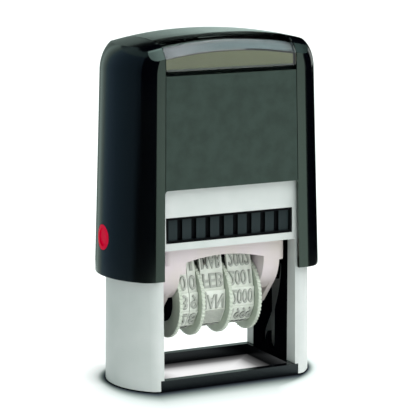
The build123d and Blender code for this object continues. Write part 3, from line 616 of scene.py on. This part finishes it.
def spring_tree():
    """A coil whose first and last turns lie closed on their neighbours."""
    inputs = (("Radius", "NodeSocketFloat"), ("Wire", "NodeSocketFloat"), ("Height", "NodeSocketFloat"),
              ("Turns", "NodeSocketFloat"), ("Base", "NodeSocketFloat"), ("Material", "NodeSocketMaterial"))
    tree, given, result = geometry_tree("closed_end_spring", inputs)
    turns = given.outputs["Turns"]
    gauge = given.outputs["Wire"]
    coil = add(tree, "GeometryNodeCurveSpiral", {"Resolution": SPRING_RESOLUTION, "Height": 0.0},
               {"Rotations": turns, "Start Radius": given.outputs["Radius"],
                "End Radius": given.outputs["Radius"]})
    share = add(tree, "GeometryNodeSplineParameter").outputs["Factor"]
    one_turn = add(tree, "ShaderNodeMath", {0: 1.0}, {1: turns}, operation="DIVIDE").outputs[0]
    last = add(tree, "ShaderNodeMath", {0: 1.0}, {1: one_turn}, operation="SUBTRACT").outputs[0]
    both_ends = add(tree, "ShaderNodeMath", {0: 2.0}, {1: gauge}, operation="MULTIPLY").outputs[0]
    free = add(tree, "ShaderNodeMath", links={0: given.outputs["Height"], 1: both_ends},
               operation="SUBTRACT").outputs[0]
    climbs = (
        {"From Max": one_turn, "To Max": gauge},
        {"From Min": one_turn, "From Max": last, "To Max": free},
        {"From Min": last, "To Max": gauge},
    )
    heights = [add(tree, "ShaderNodeMapRange", links={"Value": share, **climb}).outputs[0]
               for climb in climbs]
    rise = heights[0]
    for height in (*heights[1:], given.outputs["Base"]):
        rise = add(tree, "ShaderNodeMath", links={0: rise, 1: height}, operation="ADD").outputs[0]
    offset = add(tree, "ShaderNodeCombineXYZ", links={"Z": rise})
    lifted = add(tree, "GeometryNodeSetPosition",
                 links={"Geometry": coil.outputs["Curve"], "Offset": offset.outputs["Vector"]})
    half_wire = add(tree, "ShaderNodeMath", {1: 0.5}, {0: gauge}, operation="MULTIPLY").outputs[0]
    section = add(tree, "GeometryNodeCurvePrimitiveCircle", {"Resolution": WIRE_SIDES}, {"Radius": half_wire})
    wire = add(tree, "GeometryNodeCurveToMesh", {"Fill Caps": True},
               {"Curve": lifted.outputs["Geometry"], "Profile Curve": section.outputs["Curve"]})
    smooth = add(tree, "GeometryNodeSetShadeSmooth", links={"Geometry": wire.outputs["Mesh"]})
    real = add(tree, "GeometryNodeRealizeInstances", links={"Geometry": smooth.outputs["Geometry"]})
    shown = add(tree, "GeometryNodeSetMaterial",
                links={"Geometry": real.outputs["Geometry"], "Material": given.outputs["Material"]})
    tree.links.new(shown.outputs["Geometry"], result.inputs["Geometry"])
    return tree


low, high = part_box("return_spring")
spring_values = {
    "Radius": (high.x - low.x) / 2 - SPRING_WIRE * MM / 2,
    "Wire": SPRING_WIRE * MM,
    "Height": high.z - low.z - SPRING_WIRE * MM,
    "Turns": float(SPRING_TURNS),
    "Base": low.z + SPRING_WIRE * MM / 2,
    "Material": drawn_steel,
}
spring_base = bpy.data.objects.new("spring_base", bpy.data.meshes.new("spring_base"))
spring = made_by(spring_tree(), spring_base, spring_values, "return_spring_coil")
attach(spring, "frame")
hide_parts("return_spring")
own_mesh(spring)

# Press cap: a deep hood of black ABS that slides down over the frame, with bowed sides and an arched top. Its
# mould is polished, apart from the floor of the groove between the front plate and the clear cover.
CAP_BLACK = "#020206"
CAP_BLACK_WORN = "#050609"
CAP_SHEEN = "#e1ffec"        # tint of its gloss
POLISH_WAVE = 6.0            # mm between the faint waves of a polished moulding
GROOVE_DEPTH = 1.0           # mm below the rails, past which the groove under the cover is unpolished

# Polished ABS, black: mirror-like, with a faint waviness in the reflections.
gloss_abs = plastic("polished_abs_black", CAP_BLACK_WORN, CAP_BLACK, roughness=0.14, grain=POLISH_WAVE,
                    depth=0.01, drift=20.0, ior=1.64, tint=CAP_SHEEN)


def dull_between(material, lower, upper, depth):
    """Leaves the floor of the groove between two nodes unpolished, because no polishing stick reaches it."""
    tree = material.node_tree
    shader = tree.nodes["Principled BSDF"]
    polished = shader.inputs["Roughness"].links[0].from_socket
    place = add(tree, "ShaderNodeTexCoord").outputs["Object"]
    axes = add(tree, "ShaderNodeSeparateXYZ", links={"Vector": place})
    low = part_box(lower)[1].z
    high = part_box(upper)[0].z
    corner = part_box("rear_panel")[1]
    groove = add(tree, "ShaderNodeMath", {1: (low + high) / 2, 2: (high - low) / 2}, {0: axes.outputs["Z"]},
                 operation="COMPARE").outputs[0]
    for axis, limit in (("Y", corner.y - depth * MM), ("X", corner.x)):
        beside = add(tree, "ShaderNodeMath", links={0: axes.outputs[axis]}, operation="ABSOLUTE").outputs[0]
        within = add(tree, "ShaderNodeMath", {1: limit}, {0: beside}, operation="LESS_THAN").outputs[0]
        groove = add(tree, "ShaderNodeMath", links={0: groove, 1: within}, operation="MULTIPLY").outputs[0]
    dull = add(tree, "ShaderNodeMath", links={0: groove, 1: polished}, operation="MAXIMUM").outputs[0]
    tree.links.new(dull, shader.inputs["Roughness"])


dull_between(gloss_abs, "front_panel", "cover_window", GROOVE_DEPTH)
finish_in(gloss_abs, "cap_shell")

# Front and rear plates: thin plates of ABS, moulded apart from the cap and snapped between its rails. The
# mould gives them a fine matt texture, which hides finger marks.
PANEL_GREEN = "#34423c"
PANEL_GREEN_DEEP = "#2d3a34"
PANEL_GRAIN = 0.45           # mm between the grains of the texture, coarse enough to show

# Textured ABS, dark grey-green: matt and a little mottled.
matt_abs = plastic("textured_abs_dark_green_grey", PANEL_GREEN, PANEL_GREEN_DEEP, roughness=0.6,
                   grain=PANEL_GRAIN, depth=0.03, drift=4.0, specular=0.3)
finish_in(matt_abs, "front_panel", "rear_panel")

# Label card: a printed card bent over the crown of the cap, where the clear cover holds it. It is dark on
# top and paler on its front and rear flaps.
CARD_FLAP = "#aaad82"
CARD_TOP = "#0c0d0f"
CARD_FLAP_TOP = 98.1         # mm above the table, where the pale print ends in the middle
CARD_ARCH = 118.0            # radius of the arch on which it ends, from side to side
PAPER_FIBRE = 0.3            # mm between the marks of the paper's tooth


def printed_card(name):
    """Coated card printed black over the top and grey-brown on its flaps: matt, with a little tooth."""
    material = plastic(name, CARD_FLAP, CARD_FLAP, roughness=0.7, grain=PAPER_FIBRE, depth=0.01,
                       specular=0.1)
    tree = material.node_tree
    shader = tree.nodes["Principled BSDF"]
    flap = shader.inputs["Base Color"].links[0].from_socket
    place = add(tree, "ShaderNodeTexCoord").outputs["Object"]
    axes = add(tree, "ShaderNodeSeparateXYZ", links={"Vector": place})
    squared = add(tree, "ShaderNodeMath", {1: 2.0}, {0: axes.outputs["X"]}, operation="POWER").outputs[0]
    arch_fall = 0.5 / (CARD_ARCH * MM)
    height = add(tree, "ShaderNodeMath", {1: arch_fall}, {0: squared, 2: axes.outputs["Z"]},
                 operation="MULTIPLY_ADD").outputs[0]
    over = add(tree, "ShaderNodeMath", {1: CARD_FLAP_TOP * MM}, {0: height}, operation="GREATER_THAN")
    mix = add(tree, "ShaderNodeMix", {7: linear(CARD_TOP)}, {0: over.outputs[0], 6: flap}, data_type="RGBA")
    tree.links.new(mix.outputs[2], shader.inputs["Base Color"])
    return material


finish_in(printed_card("printed_card_dark"), "label_card")

# Clear cover: a bent window of clear acrylic, which clips over the card from front to back. It is moulded in
# one piece, and comes off the cap to change the card.
COVER_TINT = "#e6eae6"
ACRYLIC_IOR = 1.49
COVER_ROUGH_LEAST = 0.03
COVER_ROUGH_MOST = 0.07

# Clear acrylic: like glass, lightly smoked, with a hard polish.
clear_acrylic = bpy.data.materials.new("clear_acrylic_polished")
clear_acrylic.use_nodes = True
cover_tree = clear_acrylic.node_tree
cover_shader = cover_tree.nodes["Principled BSDF"]
cover_shader.inputs["Base Color"].default_value = linear(COVER_TINT)
cover_shader.inputs["IOR"].default_value = ACRYLIC_IOR
cover_shader.inputs["Transmission Weight"].default_value = 1.0
cover_place = add(cover_tree, "ShaderNodeTexCoord").outputs["Object"]
cover_waves = add(cover_tree, "ShaderNodeTexNoise", {"Scale": 1 / (POLISH_WAVE * MM)},
                  {"Vector": cover_place})
cover_ends = {"To Min": COVER_ROUGH_LEAST, "To Max": COVER_ROUGH_MOST}
cover_shine = add(cover_tree, "ShaderNodeMapRange", cover_ends, {"Value": cover_waves.outputs["Fac"]})
cover_tree.links.new(cover_shine.outputs["Result"], cover_shader.inputs["Roughness"])
finish_in(clear_acrylic, "cover_window")

# Lock buttons: two buttons of red ABS in the sides of the cap, each with a shallow dish for the fingertip.
# Pressed in, they catch the frame and hold the cap part of the way down.
BUTTON_RED = "#ff0040"
BUTTON_RED_DEEP = "#f0003a"

# Polished ABS, red: bright, with a soft rim of light.
red_abs = plastic("polished_abs_red", BUTTON_RED, BUTTON_RED_DEEP, roughness=0.25, grain=POLISH_WAVE,
                  depth=0.005, specular=0.05)
finish_in(red_abs, "lock_button_right", "lock_button_left")

# Floor: a seamless sweep of white board, on which the stamp stands. The shade at the foot is partly cast
# by the lamps and partly painted shadow; the board fades to pure white round the foot and inside the foot
# ring.
FLOOR_HALF = 4.0             # m
FLOOR_WHITE = "#f4f4f4"
FLOOR_SEEN = "#9aa6a3"       # what the camera sees of the board's own lit colour; the glow adds the rest
FOOT_HALF_DEPTH = 15.4       # mm, the outline of the foot: straight front and back, sides on an arc
FOOT_ARC_R = 19.6
FOOT_ARC_X = 12.0
GLOW_REACH = 60.0            # mm from the foot, which the next two lists divide into shares
# Painted shadow: the board's colour for the eye, dark at the foot and paler away from it.
PAINTED_SHADOW_STEPS = ((0.0, "#0c0e12"), (0.025, "#3a4148"), (0.042, "#565f64"), (0.075, "#8a9290"),
                 (0.107, FLOOR_SEEN))
# Painted shadow: the glow that lifts the board to white, none at the foot and rising away from it.
GLOW_STEPS = ((0.0, 0.0), (0.075, 0.02), (0.107, 0.12), (0.138, 0.3), (0.17, 0.46), (0.2, 0.54),
              (0.27, 0.66), (0.6, 1.0))
FADE_LEFT = 4.0              # how much faster the shade fades beside and behind the foot than in front of it
FADE_RIGHT = 5.0             # the same on the side of the key light
FADE_OVER = 30.0             # mm to that side of the middle, over which it sets in
WINDOW_HALF_X = 20.4         # mm, the opening of the foot ring
WINDOW_HALF_Y = 13.1
WINDOW_REACH = 12.0          # mm from its rear and side edges, where the board inside it shows white
# Painted shadow inside the ring: its glow, least along the rear and side edges of the opening.
WINDOW_STEPS = ((0.0, 0.02), (0.17, 0.08), (0.33, 0.17), (0.5, 0.5), (0.67, 0.75), (0.83, 0.88),
                (1.0, 0.92))

# How far a place on the board lies from the foot, and from the edges of the ring's opening, step by step.
# Each row has a name, what is done, and the two names or numbers that it is done with. Beside and behind the
# foot the distance counts for more, so the painted shadow fades sooner there.
BOARD_SUMS = (
    ("rearward", "DIVIDE", "y", "from_arc"),
    ("forward", "MINIMUM", "rearward", 0.0),
    ("turn", "ADD", "forward", 1.0),
    ("turned", "POWER", "turn", 2.0),
    ("more_left", "MULTIPLY", "turned", FADE_LEFT - 1.0),
    ("fade_left", "ADD", "more_left", 1.0),
    ("rightward", "DIVIDE", "x", FADE_OVER * MM),
    ("right_share", "MINIMUM", "rightward", 1.0),
    ("fade_right", "MULTIPLY", "right_share", FADE_RIGHT),
    ("fade", "MAXIMUM", "fade_left", "fade_right"),
    ("past_arc", "SUBTRACT", "from_arc", FOOT_ARC_R * MM),
    ("past_sides", "MULTIPLY", "past_arc", "fade"),
    ("before", "MULTIPLY", "y", -1.0),
    ("past_front", "SUBTRACT", "before", FOOT_HALF_DEPTH * MM),
    ("behind", "SUBTRACT", "y", FOOT_HALF_DEPTH * MM),
    ("past_rear", "MULTIPLY", "behind", FADE_LEFT),
    ("past_near", "MAXIMUM", "past_sides", "past_front"),
    ("past_foot", "MAXIMUM", "past_near", "past_rear"),
    ("foot_share", "DIVIDE", "past_foot", GLOW_REACH * MM),
    ("from_side", "SUBTRACT", WINDOW_HALF_X * MM, "beside_x"),
    ("from_rear", "SUBTRACT", WINDOW_HALF_Y * MM, "y"),
    ("from_edge", "MINIMUM", "from_side", "from_rear"),
    ("window_share", "DIVIDE", "from_edge", WINDOW_REACH * MM),
    ("within_x", "LESS_THAN", "beside_x", WINDOW_HALF_X * MM),
    ("within_y", "LESS_THAN", "beside_y", WINDOW_HALF_Y * MM),
    ("in_window", "MULTIPLY", "within_x", "within_y"),
)


def seen_rays(tree):
    """1 for the rays that show the background itself: camera, glossy and transmission rays."""
    path = add(tree, "ShaderNodeLightPath")
    mirrored = add(tree, "ShaderNodeMath", operation="MAXIMUM",
                   links={0: path.outputs["Is Glossy Ray"], 1: path.outputs["Is Transmission Ray"]})
    return add(tree, "ShaderNodeMath", operation="MAXIMUM",
               links={0: mirrored.outputs[0], 1: path.outputs["Is Camera Ray"]}).outputs[0]


floor_sheet = bpy.data.meshes.new("floor")
floor_corners = [(x * FLOOR_HALF, y * FLOOR_HALF, 0) for x, y in ((-1, -1), (1, -1), (1, 1), (-1, 1))]
floor_sheet.from_pydata(floor_corners, [], [(0, 1, 2, 3)])
floor = bpy.data.objects.new("floor", floor_sheet)
bpy.context.collection.objects.link(floor)

# White board, matt, lit as it is to the object; the eye sees painted shadow at the foot and a glow to white.
board = bpy.data.materials.new("white_board")
board.use_nodes = True
board_tree = board.node_tree
board_shader = board_tree.nodes["Principled BSDF"]
board_shader.inputs["Roughness"].default_value = 1.0
board_shader.inputs["Specular IOR Level"].default_value = 0.0
board_shader.inputs["Emission Color"].default_value = linear("#ffffff")
board_seen = seen_rays(board_tree)
board_place = add(board_tree, "ShaderNodeTexCoord").outputs["Object"]
board_plan = add(board_tree, "ShaderNodeSeparateXYZ", links={"Vector": board_place})
board_beside = add(board_tree, "ShaderNodeVectorMath", links={0: board_place},
                   operation="ABSOLUTE").outputs[0]
board_half = add(board_tree, "ShaderNodeSeparateXYZ", links={"Vector": board_beside})
to_arc = add(board_tree, "ShaderNodeVectorMath", {1: (FOOT_ARC_X * MM, 0, 0)}, {0: board_beside},
             operation="SUBTRACT").outputs[0]
from_arc = add(board_tree, "ShaderNodeVectorMath", links={0: to_arc}, operation="LENGTH")
board_parts = {
    "x": board_plan.outputs["X"],
    "y": board_plan.outputs["Y"],
    "beside_x": board_half.outputs["X"],
    "beside_y": board_half.outputs["Y"],
    "from_arc": from_arc.outputs["Value"],
}
for name, operation, *sides in BOARD_SUMS:
    values = {i: side for i, side in enumerate(sides) if not isinstance(side, str)}
    links = {i: board_parts[side] for i, side in enumerate(sides) if isinstance(side, str)}
    board_parts[name] = add(board_tree, "ShaderNodeMath", values, links, operation=operation).outputs[0]
# Painted shadow: the board's colour for the eye darkens towards the foot, and its glow fades there.
painted_shadow_tones = [(at, linear(code)) for at, code in PAINTED_SHADOW_STEPS]
painted_shadow_ramp = add(board_tree, "ShaderNodeValToRGB", links={"Fac": board_parts["foot_share"]}, steps=painted_shadow_tones)
board_tone = add(board_tree, "ShaderNodeMix", {6: linear(FLOOR_WHITE)},
                 {0: board_seen, 7: painted_shadow_ramp.outputs["Color"]}, data_type="RGBA")
board_tree.links.new(board_tone.outputs[2], board_shader.inputs["Base Color"])
for name, share, steps in (("foot_glow", "foot_share", GLOW_STEPS),
                           ("ring_glow", "window_share", WINDOW_STEPS)):
    greys = [(at, (light, light, light, 1.0)) for at, light in steps]
    ramp = add(board_tree, "ShaderNodeValToRGB", links={"Fac": board_parts[share]}, steps=greys)
    board_parts[name] = ramp.outputs["Color"]
inner_glow = add(board_tree, "ShaderNodeMath", operation="MULTIPLY",
                 links={0: board_parts["ring_glow"], 1: board_parts["in_window"]}).outputs[0]
glow = add(board_tree, "ShaderNodeMath", operation="MAXIMUM",
           links={0: board_parts["foot_glow"], 1: inner_glow}).outputs[0]
seen_glow = add(board_tree, "ShaderNodeMath", links={0: glow, 1: board_seen}, operation="MULTIPLY").outputs[0]
board_tree.links.new(seen_glow, board_shader.inputs["Emission Strength"])
floor.data.materials.append(board)

# World: an even white room. It shows as the white background, in the gloss and through the cover as well, and
# gives the object a softer and slightly green light.
ROOM_LIGHT = 0.5
ROOM_TINT = "#ecfff9"
world = bpy.data.worlds.new("studio")
bpy.context.scene.world = world
world.use_nodes = True
world_tree = world.node_tree
room = world_tree.nodes["Background"]
room_seen = seen_rays(world_tree)
room_light = add(world_tree, "ShaderNodeMapRange", {"To Min": ROOM_LIGHT, "To Max": 1.0},
                 {"Value": room_seen})
world_tree.links.new(room_light.outputs["Result"], room.inputs["Strength"])
room_tint = add(world_tree, "ShaderNodeMix", {6: linear(ROOM_TINT), 7: linear("#ffffff")}, {0: room_seen},
                data_type="RGBA")
world_tree.links.new(room_tint.outputs[2], room.inputs["Color"])

# Studio screens: a low wall of toned paper round the object, with a black backing behind its right end, a
# card high over the front and a black ceiling. They show only in reflections and through the cover, and give
# the cap its light edge, its dark sides and the shine of its sloped edge.
WALL_RADIUS = 0.17           # m, as the other sizes of the screens are
WALL_LOW = 0.001
WALL_HIGH = 0.16
WALL_STRETCHES = ((40, 284), (310, 400))              # degrees from +X towards +Y, as in the lists of tones
WALL_RISE = 0.05             # how much higher the wall stands at its highest, on the left
WALL_RISE_AT = 150           # degrees
WALL_DIP = 0.00027           # m per square degree by which it falls to the right, to taper the light edge
WALL_DIP_FROM = 67           # degrees
WALL_DIP_TO = 50
WALL_TONES = ((0, "#000000"), (40, "#000000"), (44, "#bfd4ce"), (60, "#bfd4ce"), (68, "#97aaa4"),
              (74, "#7c8b86"), (96, "#7c8b86"), (104, "#bfd4ce"), (113, "#aabbb6"), (120, "#93a2a0"),
              (126, "#738c9c"), (137, "#697c95"), (153, "#5d7089"), (184, "#505d73"), (192, "#000000"),
              (360, "#000000"))
BACKING_BEHIND = 0.01        # how far the backing stands behind the wall
BACKING_HIGH = 0.2
BACKING_STRETCH = (30, 80)
SLOPE_CARD = ((0.025, -0.072), (0.55, -0.196), (0.55, -0.35), (0.025, -0.35))   # its corners in plan
SLOPE_CARD_Z = 0.6
SLOPE_CARD_TONES = ((0, "#b8cfd3"), (284, "#2a3438"), (302, "#e4eef4"), (320, "#b8cfd3"), (360, "#b8cfd3"))
SLOPE_CARD_LIGHT = 5.0
CEILING_TONES = ((0, "#000000"), (90, "#000000"), (120, "#8a9aa0"), (185, "#7c8c94"), (200, "#000000"),
                 (360, "#000000"))
CEILING_RADIUS = 1.1
CEILING_START = 14.0         # degrees above the floor
CEILING_TURN = 52.0          # above this it is black all round
BLACK_TONES = ((0, "#000000"), (360, "#000000"))
SCREEN_STEPS = 48


def screen(name, rings, paper):
    """A curved sheet through rings of points, seen only in reflections and through the clear cover."""
    mesh = bpy.data.meshes.new(name)
    count = len(rings[0])
    faces = []
    for r in range(len(rings) - 1):
        for i in range(count - 1):
            a = r * count + i
            faces.append((a, a + 1, a + 1 + count, a + count))
    mesh.from_pydata([point for ring in rings for point in ring], [], faces)
    card = bpy.data.objects.new(name, mesh)
    bpy.context.collection.objects.link(card)
    card.data.materials.append(paper)
    card.visible_camera = False
    card.visible_diffuse = False
    card.visible_shadow = False


def arc(radius, height, start, end):
    """Points on an arc round the object; angles in degrees from +X towards +Y."""
    angles = [math.radians(start + (end - start) * i / SCREEN_STEPS) for i in range(SCREEN_STEPS + 1)]
    return [(radius * math.cos(a), radius * math.sin(a), height) for a in angles]


def glowing_paper(name, steps, strength=1.0):
    """Paper that shines in the tone that belongs to its direction from the object."""
    material = bpy.data.materials.new(name)
    material.use_nodes = True
    tree = material.node_tree
    shader = tree.nodes["Principled BSDF"]
    shader.inputs["Base Color"].default_value = linear("#000000")
    shader.inputs["Specular IOR Level"].default_value = 0.0
    shader.inputs["Emission Strength"].default_value = strength
    place = add(tree, "ShaderNodeTexCoord").outputs["Object"]
    axes = add(tree, "ShaderNodeSeparateXYZ", links={"Vector": place})
    angle = add(tree, "ShaderNodeMath", links={0: axes.outputs["Y"], 1: axes.outputs["X"]},
                operation="ARCTAN2").outputs[0]
    turns = add(tree, "ShaderNodeMath", {1: 2 * math.pi}, {0: angle}, operation="DIVIDE").outputs[0]
    share = add(tree, "ShaderNodeMath", links={0: turns}, operation="FRACT").outputs[0]
    around = [(degrees / 360, linear(code)) for degrees, code in steps]
    colour = add(tree, "ShaderNodeValToRGB", links={"Fac": share}, steps=around)
    tree.links.new(colour.outputs["Color"], shader.inputs["Emission Color"])
    return material


def dome(name, low, high, paper):
    """A stretch of the ceiling between two rises, in degrees above the floor."""
    rings = []
    for i in range(SCREEN_STEPS + 1):
        rise = math.radians(low + (high - low) * i / SCREEN_STEPS)
        rings.append(arc(CEILING_RADIUS * math.cos(rise), CEILING_RADIUS * math.sin(rise), 0, 360))
    screen(name, rings, paper)


def wall_top(x, y):
    """Height of the wall in the direction of a point."""
    angle = math.atan2(y, x)
    rise = WALL_RISE * max(0.0, math.cos(angle - math.radians(WALL_RISE_AT)))
    from_right = min(max(math.degrees(angle), WALL_DIP_TO), WALL_DIP_FROM) if y > 0 else WALL_DIP_FROM
    return WALL_HIGH + rise - WALL_DIP * (WALL_DIP_FROM - from_right) ** 2


wall_paper = glowing_paper("toned_wall_paper", WALL_TONES)
black_paper = glowing_paper("black_paper", BLACK_TONES)
for number, (start, end) in enumerate(WALL_STRETCHES):
    foot = arc(WALL_RADIUS, WALL_LOW, start, end)
    screen("wall_%d" % number, [foot, [(x, y, wall_top(x, y)) for x, y, z in foot]], wall_paper)
backing = [arc(WALL_RADIUS + BACKING_BEHIND, z, *BACKING_STRETCH) for z in (WALL_LOW, BACKING_HIGH)]
screen("wall_backing", backing, black_paper)
near_left, near_right, far_right, far_left = [(x, y, SLOPE_CARD_Z) for x, y in SLOPE_CARD]
slope_paper = glowing_paper("slope_card_paper", SLOPE_CARD_TONES, SLOPE_CARD_LIGHT)
screen("slope_card", [[near_left, near_right], [far_left, far_right]], slope_paper)
dome("ceiling_edge", CEILING_START, CEILING_TURN, glowing_paper("toned_ceiling_paper", CEILING_TONES))
dome("ceiling", CEILING_TURN, 90, black_paper)

# Lights: a large softbox over the right front, which whitens the sloped edge of the cap, and a low fill from
# the front that reaches the date bands under the housing. Both are kept out of the reflections, where the
# slope card stands in for the softbox.
LIGHT_AIM = (0.0, 0.0, 0.06)
LIGHT_DISTANCE = 0.8
KEY_AZIMUTH = -47.0          # degrees from +X towards +Y, and above the floor
KEY_RISE = 54.0
KEY_SIZE = 0.9
KEY_POWER = 6.8
FILL_AZIMUTH = -85.0
FILL_RISE = 4.0
FILL_SIZE = 0.3
FILL_POWER = 0.85


def softbox(name, azimuth, rise, size, power):
    """A square lamp that faces the middle of the object and stays out of the reflections."""
    lamp = bpy.data.lights.new(name, "AREA")
    lamp.shape = "SQUARE"
    lamp.size = size
    lamp.energy = power
    holder = bpy.data.objects.new(name, lamp)
    turn = math.radians(azimuth)
    lift = math.radians(rise)
    away = Vector((math.cos(turn) * math.cos(lift), math.sin(turn) * math.cos(lift), math.sin(lift)))
    holder.location = Vector(LIGHT_AIM) + away * LIGHT_DISTANCE
    holder.rotation_mode = "QUATERNION"
    holder.rotation_quaternion = away.to_track_quat("Z", "Y")
    holder.visible_glossy = False
    bpy.context.collection.objects.link(holder)


softbox("key_softbox", KEY_AZIMUTH, KEY_RISE, KEY_SIZE, KEY_POWER)
softbox("fill_softbox", FILL_AZIMUTH, FILL_RISE, FILL_SIZE, FILL_POWER)

# Camera: a long lens from the left front, a little above the object. Its place, in degrees and mm, was fitted
# to the straight edges of the frame, the ring and the cap.
VIEW_AZIMUTH = -26.661
VIEW_RISE = 10.432
VIEW_DISTANCE = 608.96
VIEW_ASIDE = 0.795
VIEW_UP = 48.563
FOCAL_PIXELS = 2021.73
PICTURE_PIXELS = 420
SENSOR = 36.0

azimuth = math.radians(VIEW_AZIMUTH)
rise = math.radians(VIEW_RISE)
back = Vector((math.sin(azimuth) * math.cos(rise), -math.cos(azimuth) * math.cos(rise), math.sin(rise)))
right = Vector((math.cos(azimuth), math.sin(azimuth), 0))
up = back.cross(right)
lens = bpy.data.cameras.new("camera")
lens.sensor_width = SENSOR
lens.lens = SENSOR * FOCAL_PIXELS / PICTURE_PIXELS
lens.clip_start = 0.01
lens.clip_end = 50.0
camera = bpy.data.objects.new("camera", lens)
camera.location = (back * VIEW_DISTANCE + right * VIEW_ASIDE + up * VIEW_UP) * MM
camera.rotation_mode = "QUATERNION"
camera.rotation_quaternion = back.to_track_quat("Z", "Y")
bpy.context.collection.objects.link(camera)
bpy.context.scene.camera = camera
bpy.context.scene.view_settings.view_transform = "Standard"
